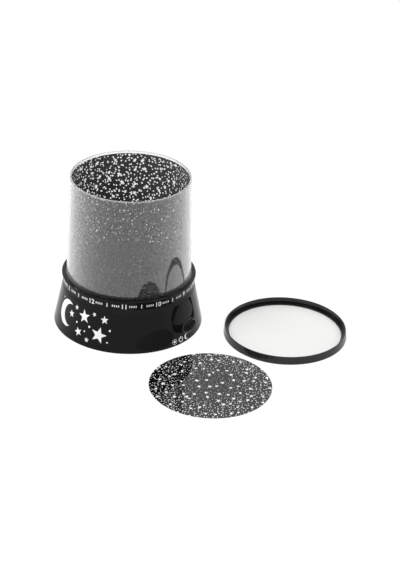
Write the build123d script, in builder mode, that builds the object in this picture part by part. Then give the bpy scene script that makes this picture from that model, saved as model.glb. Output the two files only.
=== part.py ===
"""Bedside star projector: a moulded base, a clear turning cup with a star film, a lid and a star disc.

Millimetres, +Z up. The origin is on the projector's axis at the level it stands on, and -Y is its front.
An azimuth is counted in degrees from the front (-Y) towards +X.
"""
import os
from math import atan, cos, radians, sin

from build123d import *

# ---- Cup and film ------------------------------------------------------------------------------
cup_bottom_radius = 46.15
cup_top_radius = 43.85
cup_height = 79.8
cup_wall = 1.2
foot_flange_width = 0.8         # how far the turned-out foot stands proud of the cup
foot_flange_thickness = 1.2
film_thickness = 0.25
film_play = 0.1                 # between the film and the cup's wall
film_drop = 0.8                 # how far the film stops below the cup's rim
film_slit = 0.3                 # where the rolled film's two edges meet
film_slit_azimuth = 59.0

# ---- Base housing ------------------------------------------------------------------------------
turn_play = 0.25                # round the cup's foot, which turns in its groove
turn_float = 0.2                # above and below the cup's foot
rim_wall = 1.0                  # outside the groove
band_step = 1.0                 # how far the dial band lies back from the skirt
band_height = 8.6               # with the shoulder below it
shoulder_height = 2.8           # the slope between the skirt and the band
skirt_height = 29.8
skirt_flare = 6.1               # how much wider the skirt is at its foot
housing_wall = 2.0
spigot_wall = 1.8
spigot_play = 0.8               # between the spigot and the cup's inside
spigot_height = 5.5             # above the groove's floor
deck_drop = 2.3                 # the deck's floor, below the spigot's top
shoulder_round = 6.0
skirt_foot_round = 0.8
edge_round = 0.4
boss_radius = 3.4
boss_azimuths = (30.0, 120.0, 210.0, 300.0)
rib_azimuths = (0.0, 90.0, 150.0, 240.0, 270.0, 330.0)
rib_thickness = 1.2
rib_reach = 2.6
rib_foot = 9.0                  # height at which a rib runs out into the skirt

# ---- Retaining collar --------------------------------------------------------------------------
collar_thickness = 1.5
collar_overhang = 1.25          # past the dial band
collar_round = 0.6
tongue_width = 0.4
tongue_height = 0.8
tongue_play = 0.1

# ---- Bottom cover, battery bay and door --------------------------------------------------------
cover_recess = 1.2              # the cover's underside, above the surface it stands on
cover_thickness = 2.4
cover_play = 0.25
cell_radius = 7.25
cell_length = 50.5
cell_count = 3
cell_play = 0.35
cell_gap = 0.4
nub_radius = 2.75
nub_height = 1.0
spring_length = 5.1
contact_thickness = 0.4
contact_size = 10.0
contact_link_height = 5.0
tag_width = 2.4
tag_reach = 1.8                 # above the bay's roof
tag_play = 0.15
spring_radius = 3.2
spring_wire_radius = 0.35
spring_turns = 3
spring_end_gap = 0.05
bay_wall = 1.6
door_thickness = 1.4
door_play = 0.3
door_ledge = 2.0
door_lift = 0.6                 # between the closed door and the cells
tab_width = 6.0
tab_spacing = 28.0
tab_overlap = 1.8               # how far a hinge tab reaches over the cover's lip
tab_thickness = 0.8
tab_play = 0.1
latch_width = 10.0
latch_thickness = 1.0
latch_height = 4.0
grip_depth = 0.5
grip_radius = 7.0

# ---- Screws and feet ---------------------------------------------------------------------------
screw_radius = 1.25
screw_length = 9.0
screw_head_radius = 2.6
screw_head_height = 1.3
screw_play = 0.05
foot_radius = 4.5
foot_seat = 0.5                 # how deep a foot sits in the cover
foot_azimuths = (75.0, 165.0, 255.0, 345.0)

# ---- Circuit board and lamps -------------------------------------------------------------------
board_length = 46.0
board_width = 36.0
board_thickness = 1.6
board_standoff = 3.6            # below the deck
board_boss_radius = 2.4
board_screw_inset = 4.0
board_screw_radius = 1.0
board_screw_length = 4.6
board_screw_head_radius = 2.0
board_screw_head_height = 1.1
holder_radius = 8.8
holder_height = 7.0             # above the deck
holder_play = 0.2
led_pitch = 6.8
led_radius = 2.5
led_length = 8.6
led_flange_radius = 2.9
led_flange_height = 1.0
led_play = 0.15
lead_width = 0.5
lead_pitch = 2.54
lead_bore_radius = 1.9

# ---- Push button and its switch ----------------------------------------------------------------
button_azimuth = 60.0
button_height = 10.2
bezel_half_length = 8.7
bezel_half_height = 5.1
bezel_lip = 0.5                 # how far the bezel covers the wall round its hole
bezel_proud = 0.5
bezel_wall = 0.6
bezel_play = 0.1
sleeve_depth = 3.0
button_play = 0.2
button_proud = 1.8
button_round = 0.5
button_flange = 0.9
button_flange_thickness = 1.0
button_rest_gap = 0.15
button_travel = 1.5
stem_length = 1.2
plunger_radius = 1.5
plunger_length = 3.2
plunger_play = 0.1
switch_size = 6.0
switch_depth = 5.0
switch_clear = 0.3
switch_board_width = 16.0
switch_board_height = 11.0
switch_board_thickness = 1.2
post_size = 3.2
post_play = 0.15

# ---- Power inlet -------------------------------------------------------------------------------
inlet_width = 9.0
inlet_height = 10.0
inlet_depth = 11.0
inlet_play = 0.3
barrel_radius = 4.0
barrel_play = 0.2
socket_radius = 2.8
socket_depth = 9.5
pin_radius = 1.0
inlet_rib_height = 3.0
inlet_rib_thickness = 1.2

# ---- Wires inside ------------------------------------------------------------------------------
wire_radius = 0.6
wire_bend = 2.0
wire_rise = 4.0                 # straight stretch at each end of a wire
wire_end_gap = 0.15
wire_pitch = 4.0
wire_inset = 8.0                # from the board's long edges to where the wires are soldered

# ---- Parts under the circuit board -------------------------------------------------------------
chip_length = 5.0
chip_width = 4.0
chip_height = 1.5
resistor_length = 2.0
resistor_width = 1.25
resistor_height = 0.6
resistor_count = 4
resistor_pitch = 3.0

# ---- Lid, lying upside down beside the base ----------------------------------------------------
lid_centre = (117.15, -15.1)
lid_play = 0.15                 # over the cup's rim
lid_wall = 0.9
lid_height = 6.0
lid_flare = 0.7
lid_flange_width = 2.4
lid_flange_thickness = 1.8
lid_round = 0.35
lug_azimuths = (114.0, 234.0, 354.0)
lug_width = 3.0
lug_reach = 0.35                # how far a snap lug stands in from the ring's wall
lug_height = 1.4
lug_rise = 0.6                  # above the ring's flange
diffuser_thickness = 0.8
diffuser_seat = 1.4
diffuser_play = 0.15

# ---- Star disc, lying in front -----------------------------------------------------------------
disc_centre = (63.1, -92.5)
disc_radius = 43.65
disc_thickness = 0.3

# ---- Worked out from the sizes above -----------------------------------------------------------
cup_slope = (cup_bottom_radius - cup_top_radius) / cup_height
flange_radius = cup_bottom_radius + foot_flange_width
groove_radius = flange_radius + turn_play
band_radius = groove_radius + rim_wall
skirt_top_radius = band_radius + band_step
base_radius = skirt_top_radius + skirt_flare
shoulder_z = skirt_height + shoulder_height
rim_z = skirt_height + band_height
foot_z = rim_z - turn_float - foot_flange_thickness
groove_z = foot_z - turn_float
cup_top_z = foot_z + cup_height
spigot_radius = cup_bottom_radius - cup_wall - spigot_play
spigot_top_z = groove_z + spigot_height
deck_z = spigot_top_z - deck_drop
deck_under_z = deck_z - housing_wall
groove_under_z = groove_z - housing_wall
well_radius = spigot_radius - spigot_wall
skirt_lean = atan(skirt_flare / skirt_height)
wall_run = housing_wall / cos(skirt_lean)
band_inner_radius = band_radius - housing_wall
boss_circle = band_inner_radius - boss_radius + 1.0

cover_top_z = cover_recess + cover_thickness
cell_z = cover_recess + door_thickness + door_lift + cell_radius
cell_pitch = 2 * cell_radius + cell_gap
bay_half_width = cell_count * cell_pitch / 2 + cell_play
bay_half_length = (cell_length + spring_length + 2 * contact_thickness) / 2
bay_top_z = cell_z + cell_radius + cell_play
rebate_half_width = bay_half_width + door_ledge
rebate_half_length = bay_half_length + door_ledge
door_top_z = cover_recess + door_thickness
foot_circle = boss_circle

board_top_z = deck_under_z - board_standoff
board_under_z = board_top_z - board_thickness
holder_top_z = deck_z + holder_height
led_seat_z = holder_top_z - led_flange_height
board_screw_x = board_length / 2 - board_screw_inset
board_screw_y = board_width / 2 - board_screw_inset

button_half_length = bezel_half_length - bezel_lip - bezel_wall - button_play
button_half_height = bezel_half_height - bezel_lip - bezel_wall - button_play
button_flange_front = sleeve_depth + button_rest_gap
stem_end = button_flange_front + button_flange_thickness + stem_length
switch_front = stem_end + button_travel + switch_clear
switch_back = switch_front + switch_depth
switch_board_y = (switch_board_height - switch_size) / 2

inlet_z = cover_top_z + inlet_height / 2
tag_top_z = bay_top_z + bay_wall + tag_reach
film_top_z = cup_top_z - film_drop
film_bottom_z = spigot_top_z - 0.3


def skirt_radius(z):
    """Radius of the skirt's outer face at a height."""
    return base_radius - skirt_flare * z / skirt_height


def cup_radius(z):
    """Outer radius of the cup's wall at a height."""
    return cup_bottom_radius - cup_slope * (z - foot_z)


def facing(azimuth, radius, z=0.0):
    """The point at an azimuth, a radius from the axis and a height."""
    return Vector(radius * sin(radians(azimuth)), -radius * cos(radians(azimuth)), z)


def skirt_core(proud):
    """A solid cone that stands proud of the skirt's face by a distance square to it."""
    run = proud / cos(skirt_lean)
    with BuildPart(mode=Mode.PRIVATE) as core:
        with BuildSketch(Plane.XZ):
            Polygon(
                (0, 0),
                (skirt_radius(0) + run, 0),
                (skirt_radius(skirt_height) + run, skirt_height),
                (0, skirt_height),
                align=None,
            )
        revolve(axis=Axis.Z)
    return core.part


def export(builder, name):
    """Labels a finished piece and writes its STEP file."""
    builder.part.label = name
    export_step(builder.part, f"parts/{name}.step")


os.makedirs("parts", exist_ok=True)

base_inner_radius = base_radius - wall_run
inlet_front_y = skirt_radius(inlet_z + inlet_height / 2) - wall_run - inlet_play
barrel_face_y = skirt_radius(inlet_z + barrel_radius) - inlet_play
cover_radius = base_inner_radius - skirt_flare * cover_top_z / skirt_height - cover_play
button_plane = Plane(
    origin=facing(button_azimuth, skirt_radius(button_height), button_height),
    x_dir=facing(button_azimuth + 90, 1),
    z_dir=facing(button_azimuth, cos(skirt_lean), sin(skirt_lean)),
)

# ---- base_housing: one moulding with skirt, dial band, groove, spigot and deck ------------------
with BuildPart() as base_housing:
    with BuildSketch(Plane.XZ) as wall_section:
        Polygon(
            (base_radius, 0),
            (skirt_top_radius, skirt_height),
            (band_radius, shoulder_z),
            (band_radius, rim_z),
            (groove_radius, rim_z),
            (groove_radius, groove_z),
            (spigot_radius, groove_z),
            (spigot_radius, spigot_top_z),
            (well_radius, spigot_top_z),
            (well_radius, deck_z),
            (holder_radius + holder_play, deck_z),
            (holder_radius + holder_play, deck_under_z),
            (well_radius, deck_under_z),
            (well_radius, groove_under_z),
            (band_inner_radius, groove_under_z),
            (band_inner_radius, shoulder_z),
            (skirt_top_radius - wall_run, skirt_height),
            (base_inner_radius, 0),
            align=None,
        )
        skirt_corners = wall_section.vertices()
        fillet(skirt_corners.sort_by_distance((skirt_top_radius, skirt_height))[0], shoulder_round)
        fillet(wall_section.vertices().sort_by_distance((base_radius, 0))[0], skirt_foot_round)
        fillet(wall_section.vertices().sort_by_distance((spigot_radius, spigot_top_z))[0], edge_round)
    revolve(axis=Axis.Z)

    # screw bosses, from the groove's underside down to the cover
    with BuildSketch(Plane.XY.offset(groove_under_z)):
        with Locations(*[facing(azimuth, boss_circle) for azimuth in boss_azimuths]):
            Circle(boss_radius)
    extrude(amount=cover_top_z - groove_under_z)
    with BuildSketch(Plane.XY.offset(cover_top_z)):
        with Locations(*[facing(azimuth, boss_circle) for azimuth in boss_azimuths]):
            Circle(screw_radius + screw_play)
    extrude(amount=screw_length, mode=Mode.SUBTRACT)

    # short bosses under the deck for the circuit board
    with BuildSketch(Plane.XY.offset(deck_under_z)):
        with GridLocations(2 * board_screw_x, 2 * board_screw_y, 2, 2):
            Circle(board_boss_radius)
            Circle(board_screw_radius + screw_play, mode=Mode.SUBTRACT)
    extrude(amount=-board_standoff)

    # stiffening ribs up the inside of the skirt
    for azimuth in rib_azimuths:
        rib_plane = Plane(origin=(0, 0, 0), x_dir=facing(azimuth, 1), z_dir=facing(azimuth + 90, -1))
        foot_reach = base_inner_radius - skirt_flare * rib_foot / skirt_height
        with BuildSketch(rib_plane):
            Polygon(
                (foot_reach + housing_wall / 2, rib_foot),
                (band_inner_radius + housing_wall / 2, shoulder_z),
                (band_inner_radius + housing_wall / 2, groove_under_z + housing_wall / 2),
                (band_inner_radius - rib_reach, groove_under_z + housing_wall / 2),
                (band_inner_radius - rib_reach, shoulder_z),
                align=None,
            )
        extrude(amount=rib_thickness / 2, both=True)

    # the button's oval hole and the round hole for the power inlet
    with BuildSketch(button_plane):
        Ellipse(bezel_half_length - bezel_lip + bezel_play, bezel_half_height - bezel_lip + bezel_play)
    extrude(amount=3 * housing_wall, both=True, mode=Mode.SUBTRACT)
    with BuildSketch(Plane(origin=(0, 0, inlet_z), z_dir=(0, 1, 0))):
        Circle(barrel_radius + barrel_play)
    extrude(amount=base_radius + housing_wall, mode=Mode.SUBTRACT)

    # a groove in the rim for the collar's tongue
    with BuildSketch(Plane.XY.offset(rim_z)):
        Circle(groove_radius + (rim_wall + tongue_width) / 2 + tongue_play)
        Circle(groove_radius + (rim_wall - tongue_width) / 2 - tongue_play, mode=Mode.SUBTRACT)
    extrude(amount=-tongue_height - tongue_play, mode=Mode.SUBTRACT)
export(base_housing, "base_housing")

# ---- retaining_collar: the ring that keeps the cup's foot in its groove --------------------------
collar_inner_radius = cup_bottom_radius + turn_play
collar_outer_radius = band_radius + collar_overhang
with BuildPart() as retaining_collar:
    with BuildSketch(Plane.XZ) as collar_section:
        Polygon(
            (collar_inner_radius, rim_z),
            (collar_inner_radius, rim_z + collar_thickness),
            (collar_outer_radius, rim_z + collar_thickness),
            (collar_outer_radius, rim_z),
            align=None,
        )
        outer_corners = collar_section.vertices().group_by(Axis.X)[-1]
        fillet(outer_corners, collar_round)
        with Locations((groove_radius + rim_wall / 2, rim_z)):
            Rectangle(tongue_width, 2 * tongue_height)
    revolve(axis=Axis.Z)
export(retaining_collar, "retaining_collar")

# ---- bottom_cover: underside plate with the battery bay ------------------------------------------
cell_places = [(number - (cell_count - 1) / 2) * cell_pitch for number in range(cell_count)]
contact_y = bay_half_length - contact_thickness / 2
tag_places = [(cell_places[0], contact_y), (cell_places[-1], -contact_y if cell_count % 2 else contact_y)]
with BuildPart() as bottom_cover:
    with BuildSketch(Plane.XY.offset(cover_recess)):
        Circle(cover_radius)
    extrude(amount=cover_thickness)
    with BuildSketch(Plane.XY.offset(cover_recess)):
        Rectangle(2 * (bay_half_width + bay_wall), 2 * (bay_half_length + bay_wall))
    extrude(amount=bay_top_z + bay_wall - cover_recess)
    fillet(bottom_cover.edges().filter_by(Axis.Z).group_by(SortBy.LENGTH)[-1], bay_wall)

    # the bay: straight sides up to the cells' middle, and a round cradle over each cell
    with BuildSketch(Plane.XY.offset(cover_recess)):
        Rectangle(2 * bay_half_width, 2 * bay_half_length)
    extrude(amount=cell_z - cover_recess, mode=Mode.SUBTRACT)
    with BuildSketch(Plane(origin=(0, -bay_half_length, cell_z), x_dir=(1, 0, 0), z_dir=(0, 1, 0))):
        with GridLocations(cell_pitch, 0, cell_count, 1):
            Circle(cell_radius + cell_play)
    extrude(amount=2 * bay_half_length, mode=Mode.SUBTRACT)

    # the door's rebate, the slots for its two tabs and the notch for its latch
    with BuildSketch(Plane.XY.offset(cover_recess)):
        Rectangle(2 * rebate_half_width, 2 * rebate_half_length)
    extrude(amount=door_thickness, mode=Mode.SUBTRACT)
    slot_length = door_ledge + tab_overlap + door_play
    with BuildSketch(Plane.XY.offset(door_top_z)):
        with Locations((0, -bay_half_length - slot_length / 2)):
            with GridLocations(tab_spacing, 0, 2, 1):
                Rectangle(tab_width + 2 * door_play, slot_length)
    extrude(amount=slot_length, mode=Mode.SUBTRACT)
    with BuildSketch(Plane.XY.offset(door_top_z)):
        with Locations((0, rebate_half_length - door_ledge / 2)):
            Rectangle(latch_width + 2 * door_play, door_ledge)
    extrude(amount=latch_height + door_play, mode=Mode.SUBTRACT)

    # slots in the bay's roof for the two soldering tags
    with BuildSketch(Plane.XY.offset(bay_top_z - cell_radius / 2)):
        for tag_x, tag_y in tag_places:
            with Locations((tag_x, tag_y)):
                Rectangle(tag_width + 2 * tag_play, contact_thickness + 2 * tag_play)
    extrude(amount=cell_radius, mode=Mode.SUBTRACT)

    # screw holes with seats for the heads, and seats for the feet
    with Locations(Plane(origin=(0, 0, cover_recess), x_dir=(1, 0, 0), z_dir=(0, 0, -1))):
        with Locations(*[(p.X, -p.Y) for p in [facing(a, boss_circle) for a in boss_azimuths]]):
            CounterBoreHole(
                radius=screw_radius + 4 * screw_play,
                counter_bore_radius=screw_head_radius + 4 * screw_play,
                counter_bore_depth=screw_head_height + 2 * screw_play,
                depth=cover_thickness,
            )
    with BuildSketch(Plane.XY.offset(cover_recess)):
        with Locations(*[facing(azimuth, foot_circle) for azimuth in foot_azimuths]):
            Circle(foot_radius + 4 * screw_play)
    extrude(amount=foot_seat, mode=Mode.SUBTRACT)

    # two ribs that hold the power inlet, and two slotted posts that hold the switch board
    with BuildSketch(Plane.XY.offset(cover_top_z)):
        with Locations((0, inlet_front_y - inlet_depth / 2)):
            with GridLocations(inlet_width + inlet_rib_thickness + 2 * post_play, 0, 2, 1):
                Rectangle(inlet_rib_thickness, inlet_depth / 2)
    extrude(amount=inlet_rib_height)
    post_z = button_height - switch_back * sin(skirt_lean)
    post_foot = button_plane.from_local_coords(Vector(0, 0, -switch_back - switch_board_thickness / 2))
    post_plane = Plane(
        origin=(post_foot.X, post_foot.Y, cover_top_z), x_dir=facing(button_azimuth + 90, 1), z_dir=(0, 0, 1)
    )
    with BuildSketch(post_plane):
        with GridLocations(switch_board_width, 0, 2, 1):
            Rectangle(post_size, post_size)
    extrude(amount=post_z + switch_size / 2 - cover_top_z)
    with BuildSketch(button_plane.offset(-switch_back - switch_board_thickness - post_play)):
        with Locations((0, switch_board_y)):
            Rectangle(switch_board_width + 2 * post_play, switch_board_height + 2 * post_play)
    extrude(amount=switch_board_thickness + 2 * post_play, mode=Mode.SUBTRACT)
export(bottom_cover, "bottom_cover")

# ---- battery_door: plate with two hinge tabs and a snap tongue -----------------------------------
door_half_width = rebate_half_width - door_play
door_half_length = rebate_half_length - door_play
with BuildPart() as battery_door:
    with BuildSketch(Plane.XY.offset(cover_recess)):
        RectangleRounded(2 * door_half_width, 2 * door_half_length, door_play)
    extrude(amount=door_thickness)
    # the tabs step up and reach over the lip of the cover
    for side in (-1, 1):
        with BuildSketch(Plane.YZ.offset(side * tab_spacing / 2)):
            Polygon(
                (-bay_half_length - door_play, door_top_z),
                (-bay_half_length - door_play, door_top_z + tab_play + tab_thickness),
                (-rebate_half_length - tab_overlap, door_top_z + tab_play + tab_thickness),
                (-rebate_half_length - tab_overlap, door_top_z + tab_play),
                (-door_half_length, door_top_z + tab_play),
                (-door_half_length, door_top_z),
                align=None,
            )
        extrude(amount=tab_width / 2, both=True)
    # the snap tongue stands in its notch at the other end
    with BuildSketch(Plane.XY.offset(door_top_z)):
        with Locations((0, door_half_length - door_play - latch_thickness / 2)):
            Rectangle(latch_width, latch_thickness)
    extrude(amount=latch_height)
    # a shallow round grip beside the tongue
    with BuildSketch(Plane.XY.offset(cover_recess)):
        with Locations((0, door_half_length)):
            Circle(grip_radius)
        with Locations((0, door_half_length + grip_radius)):
            Rectangle(2 * grip_radius, 2 * grip_radius, mode=Mode.SUBTRACT)
    extrude(amount=grip_depth, mode=Mode.SUBTRACT)
export(battery_door, "battery_door")

# ---- battery cells, side by side and turned end for end ------------------------------------------
for number, cell_x in enumerate(cell_places):
    towards = 1 if number % 2 == 0 else -1
    nub_face_y = towards * (bay_half_length - contact_thickness)
    cell_plane = Plane(origin=(cell_x, nub_face_y, cell_z), x_dir=(1, 0, 0), z_dir=(0, -towards, 0))
    with BuildPart() as battery_cell:
        with BuildSketch(cell_plane):
            Circle(nub_radius)
        extrude(amount=nub_height)
        with BuildSketch(cell_plane.offset(nub_height)):
            Circle(cell_radius)
        extrude(amount=cell_length - nub_height)
        rims = battery_cell.edges().filter_by(GeomType.CIRCLE)
        fillet(rims.filter_by(lambda rim: abs(rim.radius - cell_radius) < edge_round), edge_round)
    export(battery_cell, f"battery_cell_{number + 1}")

# ---- contact_plates: a plate at each end of each cell, joined in pairs, with a tag at each outlet --
with BuildPart() as contact_plates:
    for end in (1, -1):
        contact_plane = Plane(origin=(0, end * contact_y, cell_z), x_dir=(1, 0, 0), z_dir=(0, -1, 0))
        with BuildSketch(contact_plane):
            with GridLocations(cell_pitch, 0, cell_count, 1):
                Rectangle(contact_size, contact_size)
            first_linked = 1 if end == 1 else 0
            for number in range(first_linked, cell_count - 1, 2):
                with Locations((cell_places[number] + cell_pitch / 2, -contact_size / 4)):
                    Rectangle(cell_pitch, contact_link_height)
        extrude(amount=contact_thickness / 2, both=True)
    for tag_x, tag_y in tag_places:
        with BuildSketch(Plane.XY.offset(cell_z)):
            with Locations((tag_x, tag_y)):
                Rectangle(tag_width, contact_thickness)
        extrude(amount=tag_top_z - cell_z)
export(contact_plates, "contact_plates")

# ---- contact_springs: a coil behind the flat end of each cell ------------------------------------
spring_height = spring_length - 2 * (spring_wire_radius + spring_end_gap)
with BuildPart() as contact_springs:
    for number, cell_x in enumerate(cell_places):
        towards = 1 if number % 2 == 0 else -1
        coil_y = towards * (spring_wire_radius + spring_end_gap + contact_thickness - bay_half_length)
        with BuildLine() as coil:
            Helix(
                pitch=spring_height / spring_turns,
                height=spring_height,
                radius=spring_radius,
                center=(cell_x, coil_y, cell_z),
                direction=(0, towards, 0),
            )
        with BuildSketch(Plane(origin=coil.line @ 0, z_dir=coil.line % 0)):
            Circle(spring_wire_radius)
        sweep(path=coil.line, is_frenet=True)
export(contact_springs, "contact_springs")

# ---- circuit_board and what is soldered under it -------------------------------------------------
with BuildPart() as circuit_board:
    with BuildSketch(Plane.XY.offset(board_under_z)):
        RectangleRounded(board_length, board_width, board_thickness)
        with GridLocations(2 * board_screw_x, 2 * board_screw_y, 2, 2):
            Circle(board_screw_radius + 2 * screw_play, mode=Mode.SUBTRACT)
    extrude(amount=board_thickness)
export(circuit_board, "circuit_board")

with BuildPart() as board_components:
    with BuildSketch(Plane.XY.offset(board_under_z)):
        Rectangle(chip_length, chip_width)
    extrude(amount=-chip_height)
    with BuildSketch(Plane.XY.offset(board_under_z)):
        with Locations((0, chip_width + resistor_length)):
            with GridLocations(resistor_pitch, 0, resistor_count, 1):
                Rectangle(resistor_width, resistor_length)
    extrude(amount=-resistor_height)
export(board_components, "board_components")

with BuildPart() as board_screws:
    with BuildSketch(Plane.XY.offset(board_under_z)):
        with GridLocations(2 * board_screw_x, 2 * board_screw_y, 2, 2):
            Circle(board_screw_head_radius)
    extrude(amount=-board_screw_head_height)
    fillet(board_screws.edges().group_by(Axis.Z)[0], edge_round)
    with BuildSketch(Plane.XY.offset(board_under_z)):
        with GridLocations(2 * board_screw_x, 2 * board_screw_y, 2, 2):
            Circle(board_screw_radius)
    extrude(amount=board_screw_length)
    with BuildSketch(Plane.XY.offset(board_under_z - board_screw_head_height)):
        with GridLocations(2 * board_screw_x, 2 * board_screw_y, 2, 2):
            Rectangle(board_screw_head_radius * 1.2, edge_round)
            Rectangle(edge_round, board_screw_head_radius * 1.2)
    extrude(amount=board_screw_head_height / 2, mode=Mode.SUBTRACT)
export(board_screws, "board_screws")

# ---- led_holder and the four lamps in it ---------------------------------------------------------
with BuildPart() as led_holder:
    with BuildSketch(Plane.XY.offset(board_top_z)):
        Circle(holder_radius)
    extrude(amount=holder_top_z - board_top_z)
    fillet(led_holder.edges().group_by(Axis.Z)[-1], edge_round)
    with BuildSketch(Plane.XY.offset(board_top_z)):
        with GridLocations(led_pitch, led_pitch, 2, 2):
            Circle(lead_bore_radius)
    extrude(amount=holder_top_z - board_top_z, mode=Mode.SUBTRACT)
    with BuildSketch(Plane.XY.offset(led_seat_z)):
        with GridLocations(led_pitch, led_pitch, 2, 2):
            Circle(led_flange_radius + led_play)
    extrude(amount=led_flange_height, mode=Mode.SUBTRACT)
export(led_holder, "led_holder")

led_corners = {"led_white": (-1, -1), "led_red": (1, -1), "led_green": (-1, 1), "led_blue": (1, 1)}
for led_name, (side_x, side_y) in led_corners.items():
    led_x = side_x * led_pitch / 2
    led_y = side_y * led_pitch / 2
    with BuildPart() as led:
        with BuildSketch(Plane.XY.offset(led_seat_z)):
            with Locations((led_x, led_y)):
                Circle(led_flange_radius)
        extrude(amount=led_flange_height)
        with BuildSketch(Plane.XY.offset(led_seat_z)):
            with Locations((led_x, led_y)):
                Circle(led_radius)
        extrude(amount=led_length - led_radius)
        with Locations((led_x, led_y, led_seat_z + led_length - led_radius)):
            Sphere(led_radius, arc_size1=0)
        with BuildSketch(Plane.XY.offset(led_seat_z)):
            with Locations((led_x, led_y)):
                with GridLocations(lead_pitch, 0, 2, 1):
                    Rectangle(lead_width, lead_width)
        extrude(amount=board_top_z - led_seat_z)
    export(led, led_name)

# ---- button_bezel: oval frame that follows the skirt ----------------------------------------------
with BuildPart() as button_bezel:
    with BuildSketch(button_plane.offset(-sleeve_depth)):
        Ellipse(bezel_half_length, bezel_half_height)
    extrude(amount=2 * sleeve_depth)
    add(skirt_core(0), mode=Mode.SUBTRACT)
    with BuildSketch(button_plane.offset(-sleeve_depth)):
        Ellipse(bezel_half_length - bezel_lip, bezel_half_height - bezel_lip)
    extrude(amount=2 * sleeve_depth)
    add(skirt_core(bezel_proud), mode=Mode.INTERSECT)
    with BuildSketch(button_plane.offset(-sleeve_depth)):
        Ellipse(button_half_length + button_play, button_half_height + button_play)
    extrude(amount=2 * sleeve_depth, mode=Mode.SUBTRACT)
export(button_bezel, "button_bezel")

# ---- power_button: oval cap with a retaining flange and a stem ------------------------------------
with BuildPart() as power_button:
    with BuildSketch(button_plane.offset(-button_flange_front - button_flange_thickness)):
        Ellipse(button_half_length, button_half_height)
    extrude(amount=2 * sleeve_depth + button_flange_front)
    add(skirt_core(button_proud), mode=Mode.INTERSECT)
    front_rim = power_button.faces().sort_by_distance(button_plane.origin)[0].edges()
    fillet(front_rim, button_round)
    with BuildSketch(button_plane.offset(-button_flange_front)):
        Ellipse(button_half_length + button_flange, button_half_height + button_flange)
    extrude(amount=-button_flange_thickness)
    with BuildSketch(button_plane.offset(-button_flange_front)):
        Circle(2 * plunger_radius)
    extrude(amount=button_flange_front - stem_end)
export(power_button, "power_button")

# ---- switch_plunger, push_switch and the board that carries the switch ----------------------------
with BuildPart() as switch_plunger:
    with BuildSketch(button_plane.offset(-stem_end)):
        Circle(plunger_radius)
    extrude(amount=-plunger_length)
export(switch_plunger, "switch_plunger")

with BuildPart() as push_switch:
    with BuildSketch(button_plane.offset(-switch_back)):
        RectangleRounded(switch_size, switch_size, edge_round)
    extrude(amount=switch_depth)
    with BuildSketch(button_plane.offset(-switch_front)):
        Circle(plunger_radius + plunger_play)
    extrude(amount=switch_front - stem_end - plunger_length - button_travel - plunger_play, mode=Mode.SUBTRACT)
export(push_switch, "push_switch")

with BuildPart() as switch_board:
    with BuildSketch(button_plane.offset(-switch_back)):
        with Locations((0, switch_board_y)):
            Rectangle(switch_board_width, switch_board_height)
    extrude(amount=-switch_board_thickness)
export(switch_board, "switch_board")

# ---- power_inlet: barrel socket at the back -------------------------------------------------------
with BuildPart() as power_inlet:
    inlet_plane = Plane(origin=(0, inlet_front_y, inlet_z), x_dir=(1, 0, 0), z_dir=(0, 1, 0))
    with BuildSketch(inlet_plane):
        Rectangle(inlet_width, inlet_height)
    extrude(amount=-inlet_depth)
    with BuildSketch(inlet_plane):
        Circle(barrel_radius)
    extrude(amount=barrel_face_y - inlet_front_y)
    with BuildSketch(inlet_plane.offset(barrel_face_y - inlet_front_y)):
        Circle(socket_radius)
        Circle(pin_radius, mode=Mode.SUBTRACT)
    extrude(amount=-socket_depth, mode=Mode.SUBTRACT)
export(power_inlet, "power_inlet")

# ---- screws and feet under the cover --------------------------------------------------------------
screw_seat_z = cover_recess + screw_head_height + 2 * screw_play
with BuildPart() as housing_screws:
    with BuildSketch(Plane.XY.offset(screw_seat_z)):
        with Locations(*[facing(azimuth, boss_circle) for azimuth in boss_azimuths]):
            Circle(screw_head_radius)
    extrude(amount=-screw_head_height)
    fillet(housing_screws.edges().group_by(Axis.Z)[0], edge_round)
    with BuildSketch(Plane.XY.offset(screw_seat_z)):
        with Locations(*[facing(azimuth, boss_circle) for azimuth in boss_azimuths]):
            Circle(screw_radius)
    extrude(amount=screw_length)
    with BuildSketch(Plane.XY.offset(screw_seat_z - screw_head_height)):
        with Locations(*[facing(azimuth, boss_circle) for azimuth in boss_azimuths]):
            Rectangle(screw_head_radius * 1.2, edge_round)
            Rectangle(edge_round, screw_head_radius * 1.2)
    extrude(amount=screw_head_height / 2, mode=Mode.SUBTRACT)
export(housing_screws, "housing_screws")

with BuildPart() as rubber_feet:
    with BuildSketch(Plane.XY):
        with Locations(*[facing(azimuth, foot_circle) for azimuth in foot_azimuths]):
            Circle(foot_radius)
    extrude(amount=cover_recess + foot_seat)
    fillet(rubber_feet.edges().group_by(Axis.Z)[0], edge_round)
export(rubber_feet, "rubber_feet")


# ---- wires inside the housing ---------------------------------------------------------------------
def wire(*points):
    """A wire along straight runs joined by bends."""
    with BuildPart(mode=Mode.PRIVATE) as run:
        with BuildLine() as path:
            FilletPolyline(*points, radius=wire_bend)
        with BuildSketch(Plane(origin=path.line @ 0, z_dir=path.line % 0)):
            Circle(wire_radius)
        sweep(path=path.line)
    return run.part


def climb(start, end):
    """The points of a wire that leaves upwards and reaches its end upwards."""
    return (
        start,
        start + Vector(0, 0, wire_rise),
        end - Vector(0, 0, wire_rise),
        end,
    )


solder_y = board_width / 2 - wire_inset
for wire_name, (tag_x, tag_y) in zip(("lead_positive", "lead_negative"), tag_places):
    side = 1 if tag_y > 0 else -1
    with BuildPart() as battery_lead:
        add(wire(*climb(Vector(tag_x, tag_y, tag_top_z), Vector(tag_x, side * solder_y, board_under_z))))
    export(battery_lead, wire_name)

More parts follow.
